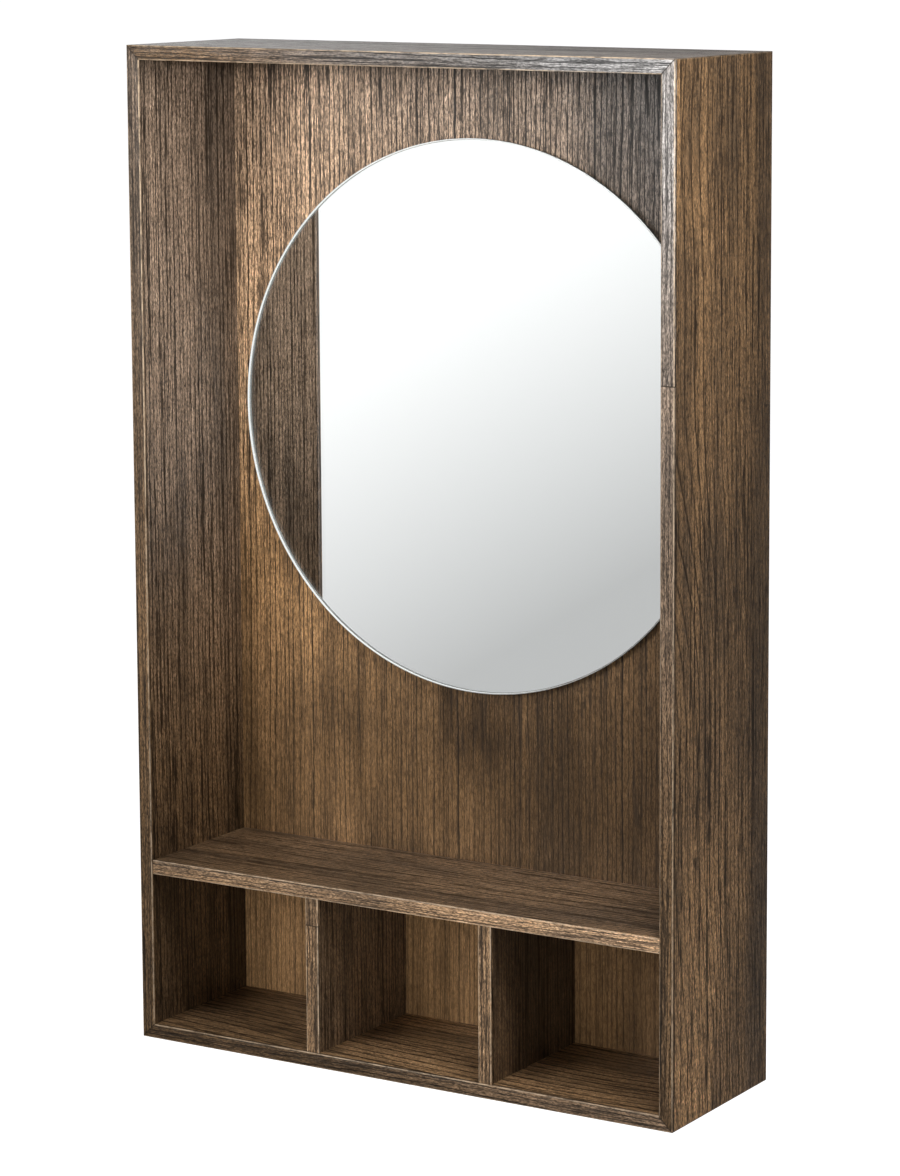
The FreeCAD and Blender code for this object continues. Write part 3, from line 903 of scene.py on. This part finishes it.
def speckled(name: str, light: Colour, dark: Colour, fine: float, rough: tuple[float, float],
             metallic: float = 0.0, relief: float = 0.0001) -> Material:
    """A plain finish that is mottled finely in colour, roughness and relief.

    Args:
        name: The material's name.
        light: Its lighter colour.
        dark: Its darker colour.
        fine: How many lumps of mottling there are to a metre.
        rough: Its lowest and highest roughness.
        metallic: 1 for a bare metal.
        relief: The height of its lumps.

    Returns:
        The material.
    """
    g = MaterialMaker(name)
    mottle = g.lumps(g.place(), fine, 4.0, 0.6)
    looks = {"Base Color": g.blend(g.ramp(mottle, 0.35, 0.65), dark, light),
             "Roughness": g.ramp(mottle, 0.3, 0.7, *rough), "Metallic": metallic}
    return g.surface(looks, mottle, 0.5, relief)


# ---- boards and strips ----


@dataclass
class Joinery:
    """How the carcass and the compartments are made alike.

    Attributes:
        seam: How far the edges at a joint are broken.
        strip_arris: The rounding of the strips' front edges.
    """

    seam: float = 0.20 * MM
    strip_arris: float = 0.8 * MM

    def strip(self, member: Member, work: Workpiece, ends: tuple[Vector, Vector]) -> Piece:
        """Round the front of a solid strip and dress it.

        Args:
            member: The strip.
            work: Its blank, with its ends cut.
            ends: Two corners, which show where the arrises across its ends are rubbed and painted with
                highlights.

        Returns:
            The finished strip.
        """
        low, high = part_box(member.node)
        run = member.cut.along.value
        work.ease(lambda a, b: both_at(low.y, a, b) and abs(a[run] - b[run]) > LONG_EDGE, self.strip_arris, 3)
        work.ease_the_rest(self.seam)
        work.smooth()
        sanded_and_lit = (Vector(low), high + Vector((0.0, 1.0, 0.0)))
        for corner, end in zip(sanded_and_lit, ends):
            corner[run] = end[run]
        return work.stand_for(member.node, "solid_lipping", member.wood.material(member, sanded_and_lit))


@dataclass
class Carcass(Joinery):
    """Four mitred veneered boards, their solid strips and the back panel.

    Attributes:
        arris: The rounding of the outer rear edges.
        veneer: The thickness of a veneer.
        lead: The chamfer that leads the back panel into its grooves.
        wood: The finish that each board's own one starts from.
    """

    arris: float = 0.6 * MM
    veneer: float = 0.5 * MM
    lead: float = 1.0 * MM
    wood: StainedWood = StainedWood()

    def __post_init__(self) -> None:
        """Work out the inner faces from the frame, and mix the core."""
        self.sides = [(FRAME_BOX[0].x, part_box("side_panel_left")[1].x),
                      (FRAME_BOX[1].x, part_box("side_panel_right")[0].x)]
        self.ends = [(FRAME_BOX[0].z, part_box("bottom_panel")[1].z),
                     (FRAME_BOX[1].z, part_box("top_panel")[0].z)]
        self.core = PressedCore().material()

    def mitre(self, member: Member, work: Workpiece) -> Workpiece:
        """Saw both ends of a carcass member along the mitre planes.

        Args:
            member: The member.
            work: Its blank, at its full outer length.

        Returns:
            The same blank, mitred.
        """
        low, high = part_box(member.node)
        middle = (low + high) / 2
        sides, ends = self.sides, self.ends
        if member.upright():
            sides = [min(sides, key=lambda side: abs(side[0] - middle.x))]
        else:
            ends = [min(ends, key=lambda end: abs(end[0] - middle.z))]
        for x, inner_x in sides:
            for z, inner_z in ends:
                corner = Vector((x, 0.0, z))
                normal = Vector((inner_z - z, 0.0, x - inner_x)).normalized()
                if normal.dot(middle - corner) > 0:
                    normal = -normal
                work.saw(corner, normal)
        return work

    def board(self, member: Member) -> Piece:
        """Make one of the four carcass boards.

        Args:
            member: The board.

        Returns:
            The finished board.
        """
        low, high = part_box(member.node)
        work = member.blank()
        inward = Vector((-1.0 if low.x > 0 else 1.0, 0, 0)) if member.upright() \
            else Vector((0, 0, -1.0 if high.z > 0 else 1.0))
        groove_low, groove_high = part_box("back_panel")
        for y in (groove_low.y, groove_high.y):
            work.saw((0, y, 0), (0, 1, 0), keep_both=True)
        work.plough(lambda centre, normal: normal.dot(inward) > 0.9
                    and groove_low.y < centre.y < groove_high.y, (groove_high.x - self.sides[1][1]) * -inward)
        self.mitre(member, work)
        reach = max(abs(low.dot(inward)), abs(high.dot(inward)))
        work.ease(lambda a, b: both_at(high.y, a, b) and all(abs(v.dot(inward) + reach) < SAME_PLANE
                                                             for v in (a, b)), self.arris, 3)
        work.ease_the_rest(self.seam)
        work.finish(lambda centre, normal: normal.y > 0.99 and centre.y > high.y - SAME_PLANE, 1, self.veneer)
        work.smooth()
        sanded_and_lit = (FRAME_BOX[0] - Vector((0.0, 1.0, 0.0)), FRAME_BOX[1])
        return work.stand_for(member.node, "veneered_board", member.wood.material(member, sanded_and_lit), self.core)

    def lipping(self, member: Member) -> Piece:
        """Make one solid strip of the carcass's front edge, mitred with its board."""
        work = self.mitre(member, member.blank())
        return self.strip(member, work, FRAME_BOX)

    def back(self, member: Member) -> Piece:
        """Make the back panel, chamfered where it enters its grooves.

        Args:
            member: The panel.

        Returns:
            The finished panel.
        """
        work = member.blank()
        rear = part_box(member.node)[1].y
        work.ease(lambda a, b: both_at(rear, a, b), self.lead)
        work.smooth()
        return work.stand_for(member.node, "back_veneer", member.wood.material(member, NO_SANDED_HIGHLIGHT))

    def build(self) -> list[Piece]:
        """Make every piece of the carcass.

        Returns:
            The finished pieces.
        """
        up, wide = Along.HEIGHT, Along.WIDTH
        sideways, forward, level = Face.SIDEWAYS, Face.FORWARD, Face.UP
        # The paleness and crossways profiles below are partly the stain's own unevenness and partly painted
        # light and shade: the fall-off away from the lamps, the shade that the right side casts over the
        # right part of the back panel, and painted corner shade on the left side beside the back panel. The
        # greying profiles paint the grey veil of the satin sheen, on the top and towards the top right.
        left = replace(self.wood, ring_width=0.0055, contrast=1.15,
                       paleness=((0, 0.65), (0.16, 0.6), (0.4, 0.88), (0.7, 1), (1, 0.96)),
                       crossways=((0, 1), (0.7, 1), (0.82, 0.7), (0.86, 0.5)),
                       painted_sheen=((0.2, 0), (0.6, 0.25), (1, 0.3)))
        right = replace(self.wood, ring_width=0.0036, vivid=1.02, contrast=1.15, line_share=0.75,
                        paleness=((0, 2), (0.12, 1.5), (0.5, 1.06), (0.8, 0.98), (1, 0.95)),
                        crossways=((0, 1.1), (0.4, 1.1), (0.6, 0.9), (1, 0.7)))
        back = replace(self.wood, cool_share=0.28, leaves=(-0.128, 0.17), contrast=0.85, contrast_rise=0.9,
                       ring_width=0.0055, vivid=1.03, smudge=(-0.012, -0.556),
                       paleness=((0, 1.15), (0.15, 1.15), (0.17, 0.75), (0.3, 0.72), (0.42, 1.2), (0.6, 1.25),
                                 (1, 1.2)),
                       crossways=((0, 1.6), (0.2, 1.4), (0.34, 0.98), (0.5, 1.05), (0.75, 0.78), (1, 0.38)),
                       painted_sheen=((0.45, 0), (0.7, 0.6), (1, 1)),
                       painted_sheen_crossways=((0.1, 0.25), (0.6, 0.35), (0.9, 0.65)))
        lid = replace(self.wood, painted_sheen=((0, 0.6),))
        base = replace(self.wood, paleness=((0.1, 0.95), (0.5, 1.6), (0.8, 1.25)))
        edge = replace(self.wood, ring_width=0.0034, paleness=((0, 0.75), (0.5, 0.9), (1, 0.8)),
                       painted_sheen=((0.3, 0), (1, 0.3)))
        upper = replace(edge, paleness=((0, 1.1), (1, 0.9)), painted_sheen=((0, 0.45), (0.8, 0.8)))
        lower = replace(edge, paleness=((0, 0.7), (0.5, 0.85), (1, 1.1)), painted_sheen=((0.3, 0), (1, 0.35)))
        top = replace(edge, paleness=((0, 0.5), (0.5, 0.45), (1, 0.8)),
                      painted_sheen=((0.1, 0), (0.5, 0.55), (0.85, 0.9)))
        bottom = replace(edge, paleness=((0, 0.5), (0.5, 0.6), (1, 1.1)), painted_sheen=((0, 0), (1, 0.15)))
        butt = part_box("lipping_right_upper")[0].z
        boards = (
            Member("side_panel_left", "left_side_board", Cut(up, sideways, 3.1, -0.3, 0.07), left),
            Member("side_panel_right", "right_side_board", Cut(up, sideways, 7.4, 0.125, 0.03, 0.03), right),
            Member("top_panel", "top_board", Cut(wide, level, 11.8, 0.2, 0.07, 0.02), lid),
            Member("bottom_panel", "bottom_board", Cut(wide, level, 14.2, -0.2, 0.06, 0.02), base),
        )
        strips = (
            Member("lipping_left", "left_edge_strip", Cut(up, forward, 21.0), edge),
            Member("lipping_right_upper", "right_edge_strip_upper", Cut(up, forward, 24.0, -0.2),
                   upper, butt),
            Member("lipping_right_lower", "right_edge_strip_lower", Cut(up, forward, 27.0), lower, butt),
            Member("lipping_top", "top_edge_strip", Cut(wide, forward, 31.0), top),
            Member("lipping_bottom", "bottom_edge_strip", Cut(wide, forward, 34.0, -0.2), bottom),
        )
        panel = Member("back_panel", "back_board", Cut(up, forward, 41.0, 0.55, 0.05), back)
        return [*map(self.board, boards), *map(self.lipping, strips), self.back(panel)]


@dataclass
class Compartments(Joinery):
    """The shelf under the mirror and the dividers below it, each with its edge strip.

    Attributes:
        wood: The finish that each piece's own one starts from.
    """

    strip_arris: float = 0.5 * MM
    wood: StainedWood = StainedWood(cool_share=0.4, vivid=0.92)

    def make(self, member: Member) -> Piece:
        """Make the shelf, a divider or one of their strips.

        Args:
            member: The piece.

        Returns:
            The finished piece.
        """
        work = member.blank()
        if member.cut.face is Face.FORWARD:
            return self.strip(member, work, NO_SANDED_HIGHLIGHT)
        work.ease_the_rest(self.seam)
        work.smooth()
        return work.stand_for(member.node, "veneered_board", member.wood.material(member, NO_SANDED_HIGHLIGHT))

    def build(self) -> list[Piece]:
        """Make the shelf, the dividers and their strips.

        Returns:
            The finished pieces.
        """
        up, wide = Along.HEIGHT, Along.WIDTH
        sideways, forward, level = Face.SIDEWAYS, Face.FORWARD, Face.UP
        # The paleness profiles below are partly the stain's own unevenness and partly painted light and
        # shade: the right divider is darkened as painted shade, and the shelf and its edge strip are
        # lightened towards their right ends, in part as painted light.
        shelf = replace(self.wood, paleness=((0, 1), (0.6, 1), (0.8, 1.35), (1, 1.6)))
        left = replace(self.wood, paleness=((0, 0.95),))
        right = replace(self.wood, paleness=((0, 0.6),))
        edge = replace(self.wood, ring_width=0.0034, paleness=((0, 1.1),))
        shelf_edge = replace(edge, paleness=((0, 1.3), (0.5, 1.35), (0.75, 2.4), (1, 3.7)))
        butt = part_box("lipping_divider_left_upper")[0].z
        members = (
            Member("shelf_board", "shelf", Cut(wide, level, 51.0, 0.3, 0.06), shelf),
            Member("lipping_shelf", "shelf_edge_strip", Cut(wide, forward, 54.0), shelf_edge),
            Member("divider_left", "left_divider", Cut(up, sideways, 57.0, -0.25, 0.06), left),
            Member("lipping_divider_left_upper", "left_divider_edge_strip_upper",
                   Cut(up, forward, 61.0), edge, butt),
            Member("lipping_divider_left_lower", "left_divider_edge_strip_lower",
                   Cut(up, forward, 63.0), edge, butt),
            Member("divider_right", "right_divider", Cut(up, sideways, 67.0, 0.25, 0.06), right),
            Member("lipping_divider_right", "right_divider_edge_strip", Cut(up, forward, 69.0, -0.2), edge),
        )
        return [self.make(member) for member in members]


# ---- mirror ----


@dataclass
class RoundMirror:
    """The glass disc with its silver and its backing paint.

    Attributes:
        corners: How many corners the round pieces have.
        polish: The width of the polished chamfer on each rim of the glass.
        bedding: How far each coat reaches into the layer before it, so that no two faces coincide.
        feather: How far a coat's rear edge tapers off.
    """

    corners: int = 256
    polish: float = 1.0 * MM
    bedding: float = 0.03 * MM
    feather: float = 0.04 * MM

    def glass(self) -> Piece:
        """Make the glass, with both rims chamfered: the front one ground bright, the wall dark as painted
        shade and glowing as painted light where it is seen through the glass.

        Returns:
            The finished glass.
        """
        low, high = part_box("mirror_glass")
        work = Workpiece("mirror_disc", (low, high), self.corners)
        work.ease(lambda a, b: both_at(low.y, a, b) or both_at(high.y, a, b), self.polish)
        flat, wall_starts = 0.95, -0.2
        work.finish(lambda centre, normal: -flat < normal.y < wall_starts, 1)
        work.finish(lambda centre, normal: wall_starts <= normal.y < flat, 2)
        work.smooth(25.0)
        clear = faintly_uneven("float_glass", ((0.965, 0.985, 0.978), (0.985, 0.995, 0.990)), 3.0,
                               {"Transmission Weight": 1.0, "IOR": 1.52})
        bright = speckled("ground_rim", (0.93, 0.95, 0.94), (0.84, 0.87, 0.86), 500.0, (0.15, 0.3))
        # The wall is painted dark, as the shade of the gap behind the glass's edge, and gets a painted glow
        # from inside.
        wall = speckled("glass_wall_painted_shade_and_glow", (0.075, 0.085, 0.08), (0.03, 0.036, 0.034), 300.0, (0.3, 0.5))
        self.painted_glow_from_inside(wall)
        return work.stand_for("mirror_glass", "clear_glass", clear, bright, wall)

    def painted_glow_from_inside(self, wall: Material) -> None:
        """Paint a glow on the ground wall where it is seen through the glass, in place of the light that the
        glass gathers; the wall glows though it is no lamp.

        Args:
            wall: The wall's finish.
        """
        g = Graph(wall.node_tree)
        surface = wall.node_tree.nodes["Principled BSDF"].inputs
        g.set(surface["Emission Color"], (0.94, 0.97, 0.96))
        g.set(surface["Emission Strength"], g.add("NewGeometry").outputs["Backfacing"])

    def coat(self, node: str, piece: str, slot: str, finish: Material) -> Piece:
        """Make one of the coats behind the glass.

        Args:
            node: The node that it stands for.
            piece: Its own name.
            slot: The record's material slot; passed on to stand_for, which does not use it.
            finish: Its material.

        Returns:
            The finished coat.
        """
        low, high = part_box(node)
        work = Workpiece(piece, (low - Vector((0.0, self.bedding, 0.0)), high), self.corners)
        work.ease(lambda a, b: both_at(high.y, a, b), self.feather)
        work.smooth()
        return work.stand_for(node, slot, finish)

    def build(self) -> list[Piece]:
        """Make the glass and its coats.

        Returns:
            The finished pieces.
        """
        silver = faintly_uneven("mirror_silver", ((0.93, 0.94, 0.945), (0.95, 0.955, 0.955)), 2.0,
                                {"Metallic": 1.0})
        paint = speckled("backing_paint", srgb(62, 66, 70), srgb(42, 45, 48), 180.0, (0.5, 0.65))
        return [
            self.glass(),
            self.coat("mirror_silvering", "mirror_silver", "silver_coat", silver),
            self.coat("mirror_backing", "mirror_paint", "backing_paint", paint),
        ]


# ---- pieces that keep the frame's own shape ----


def dress(finish: Material, *nodes: str) -> None:
    """Give nodes of the frame one finish on every material slot.

    Args:
        finish: The finish.
        nodes: The nodes.
    """
    for node in nodes:
        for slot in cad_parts[node].material_slots:
            slot.material = finish
        LOG.info("%s keeps its shape and takes %s", node, finish.name)


def dress_hidden_joinery() -> None:
    """Finish the rails, dowels, tongues, hanger plates, screws and what holds the mirror."""
    wide, up = Along.WIDTH, Along.HEIGHT
    beech = PaleWood(srgb(214, 176, 138), srgb(178, 132, 96), 0.002)
    ply = PaleWood(srgb(210, 180, 140), srgb(180, 140, 96), 0.0012)
    dress(PaleWood().material("planed_rail", Cut(wide, Face.FORWARD, 81.0, 0.09, 0.05, 0.03)),
          "hanging_rail", "spacer_rail")
    dress(beech.material("beech_level", Cut(wide, Face.UP, 85.0, 0.0, 0.06, 0.05)),
          "shelf_dowels", "hanging_rail_dowels", "spacer_rail_dowels")
    dress(beech.material("beech_upright", Cut(up, Face.SIDEWAYS, 87.0, 0.0, 0.06, 0.05)),
          "divider_left_dowels", "divider_right_dowels")
    dress(ply.material("tongue_ply", Cut(wide, Face.UP, 89.0, 0.0, 0.06, 0.05)),
          *(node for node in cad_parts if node.startswith("mitre_spline")))
    dress(speckled("zinc_plate", (0.62, 0.62, 0.60), (0.50, 0.51, 0.50), 420.0, (0.28, 0.42), 1.0, 0.00005),
          "hanger_plate_left", "hanger_plate_right", "hanger_plate_screws")
    dress(speckled("foam_tape", srgb(46, 46, 47), srgb(24, 24, 25), 900.0, (0.8, 0.95)), "mirror_tape_strips")
    dress(speckled("mirror_adhesive", srgb(226, 224, 216), srgb(200, 198, 190), 220.0, (0.45, 0.6)),
          "mirror_adhesive_dabs")


# ---- studio ----


@dataclass(frozen=True)
class Lamp:
    """One soft light, out of the camera's sight.

    Attributes:
        name: Its name.
        place: Where it is.
        aim: The point that it faces.
        power: Its power in watts.
        size: The width and height of a softbox.
        spread: The angle of a spotlight's whole beam in degrees, or 0 for a softbox.
        ball: The radius of the ball that a spotlight shines from.
        sheen: Whether it also shows in the satin finish and in the mirror.
    """

    name: str
    place: Place
    aim: Place
    power: float
    size: tuple[float, float] = (1.0, 1.0)
    spread: float = 0.0
    ball: float = 0.15
    sheen: bool = False

    def hang(self) -> None:
        """Put it in its place and switch it on."""
        data = bpy.data.lights.new(self.name, "SPOT" if self.spread else "AREA")
        data.energy = self.power
        if self.spread:
            data.spot_size = math.radians(self.spread)
            data.spot_blend = 1.0
            data.shadow_soft_size = self.ball
        else:
            data.shape = "RECTANGLE"
            data.size, data.size_y = self.size
        light = bpy.data.objects.new(self.name, data)
        light.location = self.place
        light.rotation_euler = (Vector(self.aim) - light.location).to_track_quat("-Z", "Y").to_euler()
        light.visible_camera = False
        light.visible_glossy = self.sheen
        light.visible_transmission = self.sheen
        bpy.context.scene.collection.objects.link(light)


@dataclass
class Studio:
    """A plain pale floor, soft light and the camera.

    Attributes:
        eye: Where the camera stands.
        turned: How far the camera is turned round to the left of straight at the wall, in degrees.
        lowered: How far it looks down, in degrees.
        lens: Its focal length, in millimetres.
        film: The long side of its film, in millimetres.
        sight: How far it sees, which is past the floor's edge.
        shift: How far the lens is shifted, sideways and upwards.
        floor_size: The floor's side.
        floor_gap: How far the floor lies under the cabinet.
    """

    eye: Place = (1.790, -2.895, 0.187)
    turned: float = 30.17
    lowered: float = 8.15
    lens: float = 117.7
    film: float = 36.0
    sight: float = 300.0
    shift: tuple[float, float] = (-0.1276, -0.1276)
    floor_size: float = 90.0
    floor_gap: float = 0.5 * MM

    def camera(self) -> None:
        """Set up the camera."""
        data = bpy.data.cameras.new("camera")
        data.lens = self.lens
        data.sensor_width = self.film
        data.shift_x, data.shift_y = self.shift
        data.clip_end = self.sight
        camera = bpy.data.objects.new("camera", data)
        camera.location = self.eye
        camera.rotation_euler = (math.radians(90.0 - self.lowered), 0.0, math.radians(self.turned))
        bpy.context.scene.collection.objects.link(camera)
        bpy.context.scene.camera = camera

    def floor(self) -> None:
        """Lay the pale floor just under the cabinet."""
        bpy.ops.object.select_all(action="DESELECT")
        level = FRAME_BOX[0].z - self.floor_gap
        bpy.ops.mesh.primitive_plane_add(size=self.floor_size, location=(0, 0, level))
        floor = bpy.context.active_object
        floor.name = "floor"
        g = MaterialMaker("pale_floor")
        floor.data.materials.append(g.surface({
            "Base Color": (0.7, 0.7, 0.7), "Roughness": 0.9, "Specular IOR Level": 0.0,
            "Emission Color": (1.0, 1.0, 1.0),
            "Emission Strength": g.add("LightPath").outputs["Is Camera Ray"]}))
        floor.visible_glossy = False
        floor.visible_transmission = False

    def surroundings(self) -> None:
        """Fill the room with pale light, brighter up and to the left of what the mirror shows."""
        world = bpy.data.worlds.new("studio")
        world.use_nodes = True
        bpy.context.scene.world = world
        g = Graph(world.node_tree)
        towards = g.add("TexCoord").outputs["Generated"]
        slope = g.vector("DOT_PRODUCT", towards, (-0.573, 0.0, 0.820))
        seen = g.add("MapRange", {"Value": slope, "From Min": 0.1335, "From Max": 0.215, "To Min": 0.56,
                                  "To Max": 1.12}).outputs[0]
        sideways, deep, upward = g.split(towards)
        room = g.plus(g.times(g.most(deep, 0.0), 0.17), g.times(g.most(upward, 0.0), 0.03), 0.02)
        rear_left = g.times(g.ramp(sideways, -0.62, -0.44, 1.5, 0.2), g.ramp(deep, 0.3, 0.6))
        glossy_room = g.most(room, g.times(rear_left, g.ramp(sideways, -0.3, 0.0, 1.0, 0.0)))
        in_front = g.ramp(deep, -0.6, -0.3, 1.0, 0.0)
        path = g.add("LightPath").outputs
        strength = g.lerp(path["Is Glossy Ray"], room, glossy_room)
        strength = g.lerp(g.times(path["Is Singular Ray"], in_front), strength, seen)
        background = world.node_tree.nodes["Background"]
        g.set(background.inputs["Strength"], g.lerp(path["Is Camera Ray"], strength, 1.0))
        g.set(background.inputs["Color"], (1.0, 1.0, 1.0))

    def build(self) -> None:
        """Make the whole studio."""
        self.camera()
        self.floor()
        for lamp in (
            Lamp("front_softbox", (-0.95, -2.2, 0.35), (0.1, 0.0, -0.2), 22.0, (1.0, 0.8), sheen=True),
            Lamp("high_softbox", (0.6, -0.5, 0.35), (0.0, 0.0, -0.2), 8.1, (0.4, 0.4)),
            Lamp("wide_softbox", (0.0, -2.0, -0.2), (0.0, 0.0, -0.3), 4.3, (1.0, 1.0)),
            Lamp("side_softbox", (1.7, -0.3, 0.1), (0.0, 0.0, -0.4), 2.4, (0.8, 1.4)),
            Lamp("top_spot", (0.9, -1.8, 0.2), (-0.12, -0.1, -0.08), 150.0, spread=24.0),
            Lamp("low_spot", (0.5, -2.0, -0.75), (0.0, -0.15, -0.78), 55.0, spread=17.0),
        ):
            lamp.hang()
        self.surroundings()
        bpy.context.scene.view_settings.view_transform = "Standard"


def main() -> None:
    """Build the looks in order: studio, carcass, compartments, mirror and hidden joinery."""
    logging.basicConfig(level=logging.INFO, format="%(name)s: %(message)s")
    Studio().build()
    made = Carcass().build() + Compartments().build() + RoundMirror().build()
    dress_hidden_joinery()
    LOG.info("%d pieces made", len(made))


if __name__ == "__main__":
    main()
